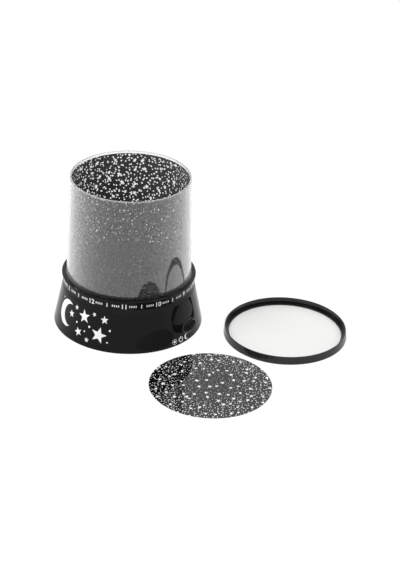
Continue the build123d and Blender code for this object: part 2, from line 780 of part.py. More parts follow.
with BuildPart() as switch_leads:
    board_edge = switch_board_y + switch_board_height / 2
    for side in (-1, 1):
        along = side * wire_pitch / 2
        start = button_plane.from_local_coords(
            Vector(along, board_edge, -switch_back - switch_board_thickness / 2)
        )
        start = start + Vector(0, 0, wire_end_gap)
        end = Vector(board_screw_x - wire_pitch / 2 + along, -solder_y / 2 + along, board_under_z)
        add(wire(*climb(start, end)))
export(switch_leads, "switch_leads")

with BuildPart() as inlet_leads:
    for side in (-1, 1):
        wire_x = side * wire_pitch / 2
        back = Vector(wire_x, inlet_front_y - inlet_depth, inlet_z)
        turn = Vector(wire_x, (back.Y + bay_half_length + bay_wall) / 2, inlet_z)
        end = Vector(wire_x, solder_y + wire_pitch / 2, board_under_z)
        top = Vector(turn.X, turn.Y, board_under_z - 2 * wire_rise)
        add(wire(back, turn, top, end - Vector(0, 0, wire_rise), end))
export(inlet_leads, "inlet_leads")

# ---- clear_cup: tapered wall on a turned-out foot -------------------------------------------------
with BuildPart() as clear_cup:
    flange_top_z = foot_z + foot_flange_thickness
    with BuildSketch(Plane.XZ) as cup_section:
        Polygon(
            (cup_radius(foot_z) - cup_wall, foot_z),
            (flange_radius, foot_z),
            (flange_radius, flange_top_z),
            (cup_radius(flange_top_z), flange_top_z),
            (cup_radius(cup_top_z), cup_top_z),
            (cup_radius(cup_top_z) - cup_wall, cup_top_z),
            align=None,
        )
        fillet(cup_section.vertices().group_by(Axis.Y)[-1], cup_wall / 4)
    revolve(axis=Axis.Z)
export(clear_cup, "clear_cup")

# ---- film_sleeve: a rolled sheet inside the cup ---------------------------------------------------
with BuildPart() as film_sleeve:
    film_inset = cup_wall + film_play
    with BuildSketch(Plane.XZ):
        Polygon(
            (cup_radius(film_bottom_z) - film_inset, film_bottom_z),
            (cup_radius(film_top_z) - film_inset, film_top_z),
            (cup_radius(film_top_z) - film_inset - film_thickness, film_top_z),
            (cup_radius(film_bottom_z) - film_inset - film_thickness, film_bottom_z),
            align=None,
        )
    revolve(axis=Axis.Z)
    with BuildSketch(Plane(origin=(0, 0, 0), x_dir=facing(film_slit_azimuth, 1), z_dir=(0, 0, 1))):
        with Locations((cup_bottom_radius, 0)):
            Rectangle(cup_bottom_radius, film_slit)
    extrude(amount=cup_top_z, mode=Mode.SUBTRACT)
export(film_sleeve, "film_sleeve")

# ---- lid_ring and lid_diffuser, open side up ------------------------------------------------------
lid_inner_radius = cup_top_radius + lid_play
lid_window_radius = lid_inner_radius - lid_flange_width
lid_plane = Plane(origin=(*lid_centre, 0), x_dir=(1, 0, 0), z_dir=(0, -1, 0))
lid_axis = Axis(origin=(*lid_centre, 0), direction=(0, 0, 1))
with BuildPart() as lid_ring:
    with BuildSketch(lid_plane) as lid_section:
        Polygon(
            (lid_window_radius + diffuser_seat, 0),
            (lid_inner_radius + lid_wall + lid_flare, 0),
            (lid_inner_radius + lid_wall, lid_height),
            (lid_inner_radius, lid_height),
            (lid_inner_radius, lid_flange_thickness),
            (lid_window_radius, lid_flange_thickness),
            (lid_window_radius, diffuser_thickness),
            (lid_window_radius + diffuser_seat, diffuser_thickness),
            align=None,
        )
        fillet(lid_section.vertices().group_by(Axis.Y)[-1], lid_round)
        outer_foot = lid_section.vertices().sort_by(Axis.X)[-1]
        fillet(outer_foot, lid_round)
    revolve(axis=lid_axis)
    # three snap lugs on the inside of the wall
    for azimuth in lug_azimuths:
        lug_plane = Plane(
            origin=Vector(*lid_centre, lid_flange_thickness + lug_rise),
            x_dir=facing(azimuth, 1),
            z_dir=(0, 0, 1),
        )
        with BuildSketch(lug_plane):
            with Locations((lid_inner_radius - lug_reach + lid_wall / 2, 0)):
                Rectangle(lid_wall, lug_width)
        extrude(amount=lug_height)
export(lid_ring, "lid_ring")

with BuildPart() as lid_diffuser:
    with BuildSketch(Plane.XY):
        with Locations(lid_centre):
            Circle(lid_window_radius + diffuser_seat - diffuser_play)
    extrude(amount=diffuser_thickness)
export(lid_diffuser, "lid_diffuser")

# ---- star_disc ------------------------------------------------------------------------------------
with BuildPart() as star_disc:
    with BuildSketch(Plane.XY):
        with Locations(disc_centre):
            Circle(disc_radius)
    extrude(amount=disc_thickness)
export(star_disc, "star_disc")
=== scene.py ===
# Tabletop star projector.
#
# Finishes the projector's solids, gives the clear turning cup and the star film inside it finer shapes,
# and prints the star disc, the dial's numbers, the night motif on the skirt and the marks under the
# button. Lengths are in metres, +Z is up, the cup's axis is the Z axis and -Y is the front.
import math

import bmesh
import bpy
import numpy as np
from bpy.props import FloatProperty, FloatVectorProperty, IntProperty, PointerProperty
from mathutils import Matrix, Vector


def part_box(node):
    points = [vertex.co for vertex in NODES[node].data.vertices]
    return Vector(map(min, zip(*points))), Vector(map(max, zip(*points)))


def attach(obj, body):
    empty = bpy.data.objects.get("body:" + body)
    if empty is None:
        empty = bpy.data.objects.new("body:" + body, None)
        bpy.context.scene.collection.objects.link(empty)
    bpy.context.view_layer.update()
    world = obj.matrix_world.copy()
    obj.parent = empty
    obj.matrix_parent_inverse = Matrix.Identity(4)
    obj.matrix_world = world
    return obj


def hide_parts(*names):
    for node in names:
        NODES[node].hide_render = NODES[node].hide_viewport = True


bl_info = {
    "name": "Star Projector",
    "version": (1, 0, 0),
    "blender": (4, 5, 0),
    "location": "View3D > Sidebar > Star Projector",
    "description": "Finishes a tabletop star projector: base, cup, star film, cap, star disc and prints",
    "category": "Object",
}

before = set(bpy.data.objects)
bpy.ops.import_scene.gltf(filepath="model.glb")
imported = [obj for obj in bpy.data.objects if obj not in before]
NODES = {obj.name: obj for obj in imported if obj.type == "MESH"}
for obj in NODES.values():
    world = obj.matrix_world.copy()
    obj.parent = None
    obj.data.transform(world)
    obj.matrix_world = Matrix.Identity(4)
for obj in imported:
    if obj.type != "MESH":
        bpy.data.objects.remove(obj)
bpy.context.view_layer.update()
MM = 0.001
FULL_TURN = 2 * math.pi
MERGE_DISTANCE = 1e-7
SLIVER_LENGTH = 1e-8
CORNER_STEPS = 6


# ---- Shapes ----
def facing(azimuth, radius, height):
    """Points round the Z axis: x = r sin a, y = -r cos a, with a counted from the front towards +X."""
    parts = np.broadcast_arrays(radius * np.sin(azimuth), -radius * np.cos(azimuth), height)
    return np.stack(parts, axis=-1)


def grid_faces(rows, columns, wrap_rows, wrap_columns):
    """Quads of a grid: corner (i, j) joins (i+1, j), (i+1, j+1) and (i, j+1), wrapped where asked."""
    i = np.arange(rows if wrap_rows else rows - 1)[:, None]
    j = np.arange(columns if wrap_columns else columns - 1)[None, :]
    i_next, j_next = (i + 1) % rows, (j + 1) % columns
    corners = (i * columns + j, i_next * columns + j, i_next * columns + j_next, i * columns + j_next)
    return np.stack(corners, axis=-1).reshape(-1, 4)


def make_piece(name, points, faces, sharp=35.0, uv=None, face_materials=None):
    """Puts corners and faces into a new object at the origin, with merged poles and outward faces."""
    mesh = bpy.data.meshes.new(name)
    mesh.from_pydata(np.asarray(points).reshape(-1, 3).tolist(), [], [list(face) for face in faces])
    if uv is not None:
        layer = mesh.uv_layers.new(name="sheet")
        index = np.zeros(len(mesh.loops), dtype=np.int32)
        mesh.loops.foreach_get("vertex_index", index)
        layer.data.foreach_set("uv", np.asarray(uv, dtype=np.float32).reshape(-1, 2)[index].ravel())
    if face_materials is not None:
        mesh.polygons.foreach_set("material_index", np.asarray(face_materials, dtype=np.int32))
    work = bmesh.new()
    work.from_mesh(mesh)
    bmesh.ops.remove_doubles(work, verts=work.verts, dist=MERGE_DISTANCE)
    bmesh.ops.dissolve_degenerate(work, edges=work.edges, dist=SLIVER_LENGTH)
    bmesh.ops.recalc_face_normals(work, faces=work.faces)
    work.to_mesh(mesh)
    work.free()
    mesh.polygons.foreach_set("use_smooth", np.ones(len(mesh.polygons), dtype=bool))
    mesh.set_sharp_from_angle(angle=math.radians(sharp))
    piece = bpy.data.objects.new(name, mesh)
    bpy.context.scene.collection.objects.link(piece)
    return piece


def rounded(profile, radii):
    """A closed outline with each corner replaced by the curve (1-t)^2 a + 2t(1-t) corner + t^2 b,
    where a and b lie a radius from the corner along its two sides."""
    outline = []
    t = np.linspace(0, 1, CORNER_STEPS)[:, None]
    for index, (corner, radius) in enumerate(zip(profile, radii)):
        corner = np.array(corner, dtype=float)
        before = np.array(profile[index - 1], dtype=float) - corner
        after = np.array(profile[(index + 1) % len(profile)], dtype=float) - corner
        if radius == 0:
            outline.append(corner[None, :])
            continue
        a = corner + before / np.linalg.norm(before) * radius
        b = corner + after / np.linalg.norm(after) * radius
        outline.append((1 - t) ** 2 * a + 2 * t * (1 - t) * corner + t**2 * b)
    return np.concatenate(outline)


def turned(name, profile, segments, sharp):
    """A closed profile of (radius, height) carried once round the Z axis."""
    angle = np.linspace(0, FULL_TURN, segments, endpoint=False)
    points = facing(angle[:, None], profile[None, :, 0], profile[None, :, 1])
    return make_piece(name, points, grid_faces(segments, len(profile), True, True), sharp)


# ---- Shader building ----
def feed(tree, socket, value):
    """Joins an input to another node's output, or sets its value."""
    if isinstance(value, bpy.types.NodeSocket):
        tree.links.new(value, socket)
    else:
        socket.default_value = value


def place(tree, kind, inputs=None, **options):
    """Adds a node, sets its options and feeds the inputs named."""
    node = tree.nodes.new(kind)
    for option, value in options.items():
        setattr(node, option, value)
    for name, value in (inputs or {}).items():
        feed(tree, node.inputs[name], value)
    return node


def calc(tree, operation, a, b=0.0, c=0.0):
    """One Math node."""
    return place(tree, "ShaderNodeMath", {0: a, 1: b, 2: c}, operation=operation).outputs[0]


def spread(tree, value, low, high, to_low=0.0, to_high=1.0):
    """Maps a value smoothly from one range to another."""
    inputs = {"Value": value, "From Min": low, "From Max": high, "To Min": to_low, "To Max": to_high}
    return place(tree, "ShaderNodeMapRange", inputs, interpolation_type="SMOOTHSTEP").outputs[0]


def vector(tree, operation, a, b=(0.0, 0.0, 0.0)):
    """One Vector Math node that gives a vector."""
    return place(tree, "ShaderNodeVectorMath", {0: a, 1: b}, operation=operation).outputs[0]


def length_of(tree, value):
    """The length of a vector."""
    return place(tree, "ShaderNodeVectorMath", {0: value}, operation="LENGTH").outputs["Value"]


def parts_of(tree, value):
    """The x, y and z of a vector."""
    return place(tree, "ShaderNodeSeparateXYZ", {0: value}).outputs


def on_object(tree):
    """The place on the piece, in metres."""
    return place(tree, "ShaderNodeTexCoord").outputs["Object"]


def noise(tree, value, scale, detail, **inputs):
    """The strength of a Noise texture."""
    inputs.update(Vector=value, Scale=scale, Detail=detail)
    return place(tree, "ShaderNodeTexNoise", inputs).outputs[0]


def blend_colour(tree, factor, a, b):
    """One Mix node for colours."""
    return place(tree, "ShaderNodeMix", {0: factor, 6: a, 7: b}, data_type="RGBA").outputs[2]


def start_group(name, defaults, outputs):
    """A new shader group, and its input and output nodes; an input with no default is a vector."""
    group = bpy.data.node_groups.new(name, "ShaderNodeTree")
    for socket, default in defaults.items():
        kind = "NodeSocketVector" if default is None else "NodeSocketFloat"
        made = group.interface.new_socket(socket, in_out="INPUT", socket_type=kind)
        if default is not None:
            made.default_value = default
    for socket in outputs:
        group.interface.new_socket(socket, in_out="OUTPUT", socket_type="NodeSocketFloat")
    return group, group.nodes.new("NodeGroupInput"), group.nodes.new("NodeGroupOutput")


def star_print_group():
    """Scattered dots and five-pointed stars, one in each cell of a Voronoi pattern.

    d is a point's distance from its cell's centre. A dot is where d < dot radius. A star is where
    d < R r sin 36 / (R sin a + r sin(36 - a)), with a the angle from the nearest ray, from 0 to 36
    degrees: a straight side from a tip at R to a notch at r. The cells' grid wanders a little, and each
    dot and star has its own size.
    """
    defaults = {"Vector": None, "Dot Cell": 3.0, "Dot Radius": 0.4}
    defaults.update({"Star Cell": 12.0, "Star Radius": 1.7, "Softness": 0.08})
    group, into, out = start_group("Star print", defaults, ["Print"])
    value = into.outputs
    drift = place(group, "ShaderNodeTexNoise", {"Vector": value["Vector"], "Scale": 0.06, "Detail": 0.0})
    drift = vector(group, "SUBTRACT", drift.outputs["Color"], (0.5, 0.5, 0.5))
    how_far = (5.0, 5.0, 0.0)
    wandering = vector(group, "ADD", value["Vector"], vector(group, "MULTIPLY", drift, how_far))

    def cell_offsets(cell, shift, randomness):
        """From the nearest cell's centre: the offset's parts, its length, and the cell's three chances."""
        moved = vector(group, "ADD", wandering, (shift, shift * 0.7, 0.0))
        inputs = {"Vector": moved, "Scale": calc(group, "DIVIDE", 1.0, cell), "Randomness": randomness}
        cells = place(group, "ShaderNodeTexVoronoi", inputs, voronoi_dimensions="2D")
        offset = vector(group, "SUBTRACT", moved, cells.outputs["Position"])
        chance = place(group, "ShaderNodeSeparateColor", {0: cells.outputs["Color"]}).outputs
        return parts_of(group, offset), length_of(group, offset), chance

    def inside(reach, length):
        """1 where the length is less than the reach and 0 beyond it, with a soft edge."""
        edge = calc(group, "DIVIDE", calc(group, "SUBTRACT", reach, length), value["Softness"])
        return spread(group, edge, -1.0, 1.0)

    _, length, chance = cell_offsets(value["Dot Cell"], shift=0.0, randomness=1.0)
    own_size = spread(group, chance[0], 0.0, 1.0, 0.8, 1.15)
    dots = inside(calc(group, "MULTIPLY", value["Dot Radius"], own_size), length)
    empty_cells = 0.08
    dots = calc(group, "MULTIPLY", dots, calc(group, "GREATER_THAN", chance[1], empty_cells))

    offset, length, chance = cell_offsets(value["Star Cell"], shift=31.7, randomness=0.85)
    own_turn = calc(group, "MULTIPLY", chance[2], FULL_TURN)
    direction = calc(group, "ADD", calc(group, "ARCTAN2", offset[1], offset[0]), own_turn)
    half_point = FULL_TURN / 10
    folded = calc(group, "ABSOLUTE", calc(group, "WRAP", direction, half_point, -half_point))
    own_size = spread(group, chance[0], 0.0, 1.0, 0.82, 1.15)
    tip = calc(group, "MULTIPLY", value["Star Radius"], own_size)
    notch = calc(group, "MULTIPLY", tip, 0.5)
    top = calc(group, "MULTIPLY", calc(group, "MULTIPLY", tip, notch), math.sin(half_point))
    side = calc(group, "MULTIPLY", tip, calc(group, "SINE", folded))
    to_notch = calc(group, "SINE", calc(group, "SUBTRACT", half_point, folded))
    rest = calc(group, "MULTIPLY", notch, to_notch)
    stars = inside(calc(group, "DIVIDE", top, calc(group, "ADD", side, rest)), length)
    group.links.new(calc(group, "MAXIMUM", dots, stars), out.inputs["Print"])
    return group


def moulded_skin_group():
    """The skin of a moulding: a faint waviness, a fine grain, and duller, dusty places where it is handled.

    Wave Size and Grain Size are in millimetres, and Grain is the grain's share in the height.
    """
    defaults = {"Wave Size": 6.0, "Grain Size": 0.35, "Grain": 0.2, "Smooth": 0.1, "Dull": 0.25}
    group, into, out = start_group("Moulded skin", defaults, ["Roughness", "Height", "Dust"])
    value = into.outputs
    spot = on_object(group)
    wave = noise(group, spot, calc(group, "DIVIDE", 1 / MM, value["Wave Size"]), 2.0)
    grain = noise(group, spot, calc(group, "DIVIDE", 1 / MM, value["Grain Size"]), 3.0)
    handled = spread(group, noise(group, spot, 55.0, 5.0, Distortion=0.8), 0.42, 0.72)
    height = calc(group, "MULTIPLY_ADD", grain, value["Grain"], wave)
    group.links.new(height, out.inputs["Height"])
    duller = calc(group, "SUBTRACT", value["Dull"], value["Smooth"])
    roughness = calc(group, "MULTIPLY_ADD", handled, duller, value["Smooth"])
    group.links.new(roughness, out.inputs["Roughness"])
    specks = place(group, "ShaderNodeTexVoronoi", {"Vector": spot, "Scale": 420.0, "Randomness": 1.0})
    dust = calc(group, "MULTIPLY", spread(group, specks.outputs["Distance"], 0.09, 0.02), handled)
    group.links.new(dust, out.inputs["Dust"])
    return group


STAR_PRINT = star_print_group()
MOULDED_SKIN = moulded_skin_group()


def empty_tree(owner):
    """A material's or world's node tree, with nothing in it."""
    owner.use_nodes = True
    owner.node_tree.nodes.clear()
    return owner.node_tree


def start_material(name):
    """A node material with a Principled shader joined to its output."""
    material = bpy.data.materials.new(name)
    tree = empty_tree(material)
    shader = place(tree, "ShaderNodeBsdfPrincipled")
    place(tree, "ShaderNodeOutputMaterial", {"Surface": shader.outputs[0]})
    return material, tree, shader


def join(tree, shader, **inputs):
    """Feeds the shader's inputs; underscores stand for the spaces in their names."""
    for name, value in inputs.items():
        feed(tree, shader.inputs[name.replace("_", " ")], value)


def rgb(value, tint=(1.0, 1.0, 1.0)):
    """A colour from one brightness and a tint."""
    return (value * tint[0], value * tint[1], value * tint[2], 1.0)


def skin_on(tree, shader, strength, depth, smooth, dull, **sizes):
    """Places the moulded skin, joins its roughness and relief, and gives its dust.

    strength and depth are the relief's, and sizes are the skin's other inputs, with underscores for spaces.
    """
    inputs = {name.replace("_", " "): value for name, value in sizes.items()}
    inputs.update(Smooth=smooth, Dull=dull)
    skin = place(tree, "ShaderNodeGroup", inputs, node_tree=MOULDED_SKIN).outputs
    relief = {"Height": skin["Height"], "Strength": strength, "Distance": depth}
    bumped = place(tree, "ShaderNodeBump", relief).outputs[0]
    join(tree, shader, Roughness=skin["Roughness"], Normal=bumped)
    return skin["Dust"]


def moulded(name, colour, smooth=0.1, dull=0.25, bump=0.05, dust=0.05, level=0.5, **sizes):
    """Moulded plastic: one colour, the skin's roughness and relief, and dust where it is handled."""
    material, tree, shader = start_material(name)
    handled = skin_on(tree, shader, bump, 0.0004, smooth, dull, **sizes)
    dusty = calc(tree, "MULTIPLY", handled, dust)
    pale_dust = (0.55, 0.54, 0.52, 1.0)
    base = blend_colour(tree, dusty, colour, pale_dust)
    join(tree, shader, Base_Color=base, Specular_IOR_Level=level)
    return material


def metal(name, colour, roughness):
    """Plated metal with a fine grain, duller and a little tarnished in places."""
    material, tree, shader = start_material(name)
    spots = skin_on(tree, shader, 0.08, 0.0002, roughness * 0.7, roughness * 1.5, Grain_Size=0.2, Grain=0.6)
    tarnish = rgb(0.2, (1.0, 0.9, 0.75))
    join(tree, shader, Base_Color=blend_colour(tree, spots, colour, tarnish), Metallic=1.0)
    return material


def clear(name, tint, roughness=0.0, ior=1.49, through=1.0, haze=0.0):
    """Clear acrylic, film or epoxy, with faint handling marks in its roughness; haze whitens its edges."""
    material, tree, shader = start_material(name)
    marks = 0.004
    inputs = {"Smooth": roughness, "Dull": roughness + marks}
    skin = place(tree, "ShaderNodeGroup", inputs, node_tree=MOULDED_SKIN)
    join(tree, shader, Base_Color=tint, Roughness=skin.outputs["Roughness"], IOR=ior)
    join(tree, shader, Transmission_Weight=through, Sheen_Weight=haze, Sheen_Roughness=0.5)
    return material


def printed_sheet(name, ink, spots, where, sizes, clear_spots=0.0, smooth=0.01, level=0.5, dot_radius=None):
    """Sheet with dark ink round open dots and stars.

    where gives millimetres on the sheet; sizes are the star print's inputs; spots is the colour of the
    open print, and clear_spots says how far it is see-through. dot_radius, where there is one, gives a
    dot's radius from its place.
    """
    material, tree, shader = start_material(name)
    position = where(tree)
    inputs = {"Vector": position, **sizes}
    if dot_radius is not None:
        inputs["Dot Radius"] = dot_radius(tree, position)
    mask = place(tree, "ShaderNodeGroup", inputs, node_tree=STAR_PRINT).outputs["Print"]
    cover = noise(tree, position, 0.09, 4.0, Roughness=0.6)
    dark = blend_colour(tree, cover, rgb(ink * 0.7), rgb(ink * 1.3))
    join(tree, shader, Base_Color=blend_colour(tree, mask, dark, spots), Specular_IOR_Level=level)
    skin_on(tree, shader, 0.03, 0.0003, smooth, smooth + 0.04, Wave_Size=18.0, Grain=0.05)
    if clear_spots > 0:
        join(tree, shader, Alpha=calc(tree, "MULTIPLY_ADD", mask, -clear_spots, 1.0))
    return material


def give(piece, *materials):
    """Puts materials into a piece's slots, in order, and keeps each face's slot."""
    slots = np.zeros(len(piece.data.polygons), dtype=np.int32)
    piece.data.polygons.foreach_get("material_index", slots)
    piece.data.materials.clear()
    for material in materials:
        piece.data.materials.append(material)
    piece.data.polygons.foreach_set("material_index", np.minimum(slots, len(materials) - 1))


def finish_nodes(material, *nodes):
    """Gives one material to solids that keep their shape."""
    for node in nodes:
        give(NODES[node], material)


# ---- Sizes and colours a user would change ----
CUP_LOW, CUP_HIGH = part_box("clear_cup")
FILM_LOW, FILM_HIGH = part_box("film_sleeve")
DISC_LOW, DISC_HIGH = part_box("star_disc")
ROUND_STEPS = 320
COLOUR = {"size": 4, "subtype": "COLOR"}
SHARE = {"min": 0.0, "max": 1.0, "subtype": "FACTOR"}


class STARPROJECTOR_PG_cup(bpy.types.PropertyGroup):
    """Sizes of the clear cup and of the film in it."""

    top_radius: FloatProperty(
        name="Rim radius", description="Outer radius at the cup's rim", default=0.04385, unit="LENGTH"
    )
    bottom_radius: FloatProperty(
        name="Foot radius", description="Outer radius at the wall's foot", default=0.04615, unit="LENGTH"
    )
    wall: FloatProperty(name="Wall", description="Thickness of the clear wall", default=0.0012, unit="LENGTH")
    foot_reach: FloatProperty(
        name="Foot reach", description="How far the foot stands out", default=0.0008, unit="LENGTH"
    )
    foot_height: FloatProperty(
        name="Foot height", description="Thickness of the turned-out foot", default=0.0012, unit="LENGTH"
    )
    film_gap: FloatProperty(
        name="Film gap", description="Air between the wall and the film", default=0.0001, unit="LENGTH"
    )
    film_thickness: FloatProperty(
        name="Film thickness", description="Thickness of the rolled sheet", default=0.00015, unit="LENGTH"
    )
    film_drop: FloatProperty(
        name="Film drop", description="How far the sheet has slipped down", default=0.0008, unit="LENGTH"
    )
    film_slit_azimuth: FloatProperty(
        name="Film seam",
        description="Where the rolled sheet's edges meet, from the front towards +X",
        default=math.radians(59.0),
        subtype="ANGLE",
    )
    film_slit: FloatProperty(name="Seam gap", description="Width of the seam", default=0.0006, unit="LENGTH")
    tint: FloatVectorProperty(
        name="Clear tint",
        description="Colour of the clear plastic",
        default=(0.97, 0.975, 0.975, 1.0),
        **COLOUR,
    )


class STARPROJECTOR_PG_print(bpy.types.PropertyGroup):
    """Star print of the film and the disc, in millimetres on the sheet."""

    dot_radius: FloatProperty(name="Dot radius", description="Radius of a dot, in millimetres", default=0.61)
    dot_cell: FloatProperty(name="Dot spacing", description="About how far apart dots lie", default=2.7)
    star_radius: FloatProperty(name="Star radius", description="Radius of a five-pointed star", default=1.65)
    star_cell: FloatProperty(name="Star spacing", description="About how far apart stars lie", default=9.5)
    clear_spots: FloatProperty(
        name="See-through", description="How see-through the film's open print is", default=0.93, **SHARE
    )
    film_ink: FloatProperty(
        name="Film ink", description="Brightness of the film's ink", default=0.006, **SHARE
    )
    disc_ink: FloatProperty(
        name="Disc ink", description="Brightness of the disc's ink", default=0.003, **SHARE
    )
    spot: FloatVectorProperty(
        name="Dots and stars", description="Colour of the open print", default=rgb(0.9), **COLOUR
    )


class STARPROJECTOR_PG_housing(bpy.types.PropertyGroup):
    """Finish of the moulded base and what is printed on it."""

    plastic: FloatVectorProperty(
        name="Plastic",
        description="Colour of the black moulding",
        default=(0.006, 0.006, 0.0065, 1.0),
        **COLOUR,
    )
    paint: FloatVectorProperty(
        name="Print", description="Colour of the white print", default=rgb(0.92), **COLOUR
    )
    print_height: FloatProperty(
        name="Print thickness", description="How proud the print stands", default=0.00004, unit="LENGTH"
    )
    dial_numbers: IntProperty(name="Numbers", description="How many numbers the dial has", default=12, min=2)
    dial_height: FloatProperty(
        name="Figure height", description="Height of the dial's figures", default=0.0036, unit="LENGTH"
    )


class STARPROJECTOR_PG_stage(bpy.types.PropertyGroup):
    """Light and view."""

    key: FloatProperty(name="Key light", description="Power of the main softbox", default=10.6, unit="POWER")
    fill: FloatProperty(name="Side lights", description="Power of each side softbox", default=5.4, unit="POWER")
    sky: FloatProperty(name="Surround", description="Strength of the pale surround", default=0.47, min=0.0)
    lens: FloatProperty(name="Lens", description="Focal length", default=118.797)


# ---- The pieces ----
def wall_slope(size):
    """How much the cup's radius shrinks for each metre of height."""
    return (size.bottom_radius - size.top_radius) / (CUP_HIGH.z - CUP_LOW.z)


class STARPROJECTOR_OT_cup(bpy.types.Operator):
    """Turn the clear cup: a tapered wall on a turned-out foot, with a rounded rim."""

    bl_idname = "starprojector.cup"
    bl_label = "Clear cup"

    def execute(self, context):
        size = context.scene.star_projector_cup
        foot, rim = CUP_LOW.z, CUP_HIGH.z
        slope = wall_slope(size)
        ledge = foot + size.foot_height
        at_ledge = size.bottom_radius - slope * size.foot_height
        hold = 0.0007  # the last rows before an edge, which keep the walls' shading smooth
        lean = slope * hold
        foot_round, rim_round = 0.0002, 0.0004
        corners = [
            (size.bottom_radius - size.wall, foot, 0),
            (size.bottom_radius + size.foot_reach, foot, foot_round),
            (size.bottom_radius + size.foot_reach, ledge, foot_round),
            (at_ledge, ledge, 0),
            (at_ledge - lean, ledge + hold, 0),
            (size.top_radius + lean, rim - hold, 0),
            (size.top_radius, rim, rim_round),
            (size.top_radius - size.wall, rim, rim_round),
            (size.top_radius - size.wall + lean, rim - hold, 0),
            (size.bottom_radius - size.wall - lean, foot + hold, 0),
        ]
        profile = rounded([corner[:2] for corner in corners], [corner[2] for corner in corners])
        cup = turned("cup_shell", profile, ROUND_STEPS, sharp=40.0)
        middle = np.zeros(len(cup.data.polygons) * 3)
        cup.data.polygons.foreach_get("center", middle)
        at_rim = middle.reshape(-1, 3)[:, 2] > rim - hold
        cup.data.polygons.foreach_set("material_index", at_rim.astype(np.int32))
        wall = clear("Clear acrylic", tuple(size.tint), haze=0.6)
        give(cup, wall, clear("Rim acrylic", tuple(size.tint), roughness=0.2, through=0.75))
        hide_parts("clear_cup")
        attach(cup, "cup")
        return {"FINISHED"}


class STARPROJECTOR_OT_film(bpy.types.Operator):
    """Roll the star film inside the cup: a clear backing with the print on its inner face, and a seam."""

    bl_idname = "starprojector.film"
    bl_label = "Star film"

    def execute(self, context):
        size = context.scene.star_projector_cup
        ink = context.scene.star_projector_print
        top = FILM_HIGH.z - size.film_drop
        backing_share, print_from = 0.6, 0.7
        backing = self.roll("film_backing", size, top, 0.0, size.film_thickness * backing_share)
        film = self.roll("film_roll", size, top, size.film_thickness * print_from, size.film_thickness)
        give(backing, clear("Film backing", tuple(size.tint), ior=1.5))
        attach(backing, "cup")
        around = size.bottom_radius / MM * FULL_TURN
        tall = (top - FILM_LOW.z) / MM

        def on_sheet(tree):
            """Millimetres along the sheet and up it."""
            sheet = place(tree, "ShaderNodeUVMap", uv_map="sheet").outputs[0]
            return vector(tree, "MULTIPLY", sheet, (around, tall, 0.0))

        sizes = {
            "Dot Cell": ink.dot_cell,
            "Dot Radius": ink.dot_radius,
            "Star Cell": ink.star_cell,
            "Star Radius": ink.star_radius,
        }
        spot = tuple(ink.spot)
        # The inner face's ink is fifteen times brighter than the outer face's: painted light standing in for
        # the light inside the cup.
        outer_ink, inner_ink_with_painted_light = ink.film_ink, ink.film_ink * 15.0
        outer = printed_sheet("Film outside", outer_ink, spot, on_sheet, sizes, ink.clear_spots, level=0.1)
        inner = printed_sheet("Film inside", inner_ink_with_painted_light, spot, on_sheet, sizes, 1.0, smooth=0.45)
        give(film, outer, inner)
        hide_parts("film_sleeve")
        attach(film, "cup")
        return {"FINISHED"}

    def roll(self, name, size, top, outer, inner):
        """A layer of the sheet, rolled against the tapered wall: its radius at a height is the wall's inner
        radius there, less the gap and its own depth, with the seam left open. Its outer face has the first
        material, and its inner face and edges have the second."""
        steps = ROUND_STEPS + 1
        half_slit = size.film_slit / 2 / size.bottom_radius
        turn = np.linspace(half_slit, FULL_TURN - half_slit, steps)
        angle = size.film_slit_azimuth + turn
        height = np.array([FILM_LOW.z, top, top, FILM_LOW.z])
        depth = np.array([outer, outer, inner, inner]) + size.wall + size.film_gap
        radius = size.bottom_radius - wall_slope(size) * (height - CUP_LOW.z) - depth
        points = facing(angle[:, None], radius[None, :], height[None, :])
        faces = grid_faces(steps, 4, False, True).tolist()
        last = (steps - 1) * 4
        faces += [[0, 1, 2, 3], [last + 3, last + 2, last + 1, last]]
        along = np.broadcast_to((turn / FULL_TURN)[:, None], (steps, 4))
        up = np.broadcast_to(np.array([0.0, 1.0, 1.0, 0.0])[None, :], (steps, 4))
        sides = np.tile([0, 1, 1, 1], steps - 1).tolist() + [1, 1]
        return make_piece(name, points, faces, 30.0, np.stack([along, up], axis=-1), sides)


class STARPROJECTOR_OT_disc(bpy.types.Operator):
    """Print the flat star disc."""

    bl_idname = "starprojector.disc"
    bl_label = "Star disc"

    def execute(self, context):
        ink = context.scene.star_projector_print
        centre = (DISC_LOW + DISC_HIGH) / 2
        edge = (DISC_HIGH.x - DISC_LOW.x) / 2 / MM

        def on_disc(tree):
            """Millimetres from the middle of the disc."""
            moved = vector(tree, "SUBTRACT", on_object(tree), (centre.x, centre.y, 0.0))
            return vector(tree, "MULTIPLY", moved, (1 / MM, 1 / MM, 0.0))

        def growing(tree, position):
            """Dots grow from the middle of the disc to its edge."""
            small, large = ink.dot_radius * 0.31, ink.dot_radius * 0.61
            return spread(tree, length_of(tree, position), edge * 0.15, edge * 0.85, small, large)

        sizes = {
            "Dot Cell": ink.dot_cell * 0.82,
            "Star Cell": ink.star_cell * 0.88,
            "Star Radius": ink.star_radius * 0.87,
        }
        spot = tuple(ink.spot)
        sheet = printed_sheet("Disc print", ink.disc_ink, spot, on_disc, sizes, dot_radius=growing)
        finish_nodes(sheet, "star_disc")
        return {"FINISHED"}


class STARPROJECTOR_OT_lid(bpy.types.Operator):
    """Finish the cap: its black ring and the milky plate in it."""

    bl_idname = "starprojector.lid"
    bl_label = "Cap"

    def execute(self, context):
        black = moulded("Cap plastic", rgb(0.011), smooth=0.12, dull=0.28, bump=0.04, level=0.42)
        finish_nodes(black, "lid_ring")
        frosted = {"Wave_Size": 9.0, "Grain": 0.5, "Grain_Size": 0.6, "smooth": 0.32, "dull": 0.5, "bump": 0.06}
        finish_nodes(moulded("Milky plate", (0.83, 0.83, 0.82, 1.0), dust=0.03, **frosted), "lid_diffuser")
        return {"FINISHED"}


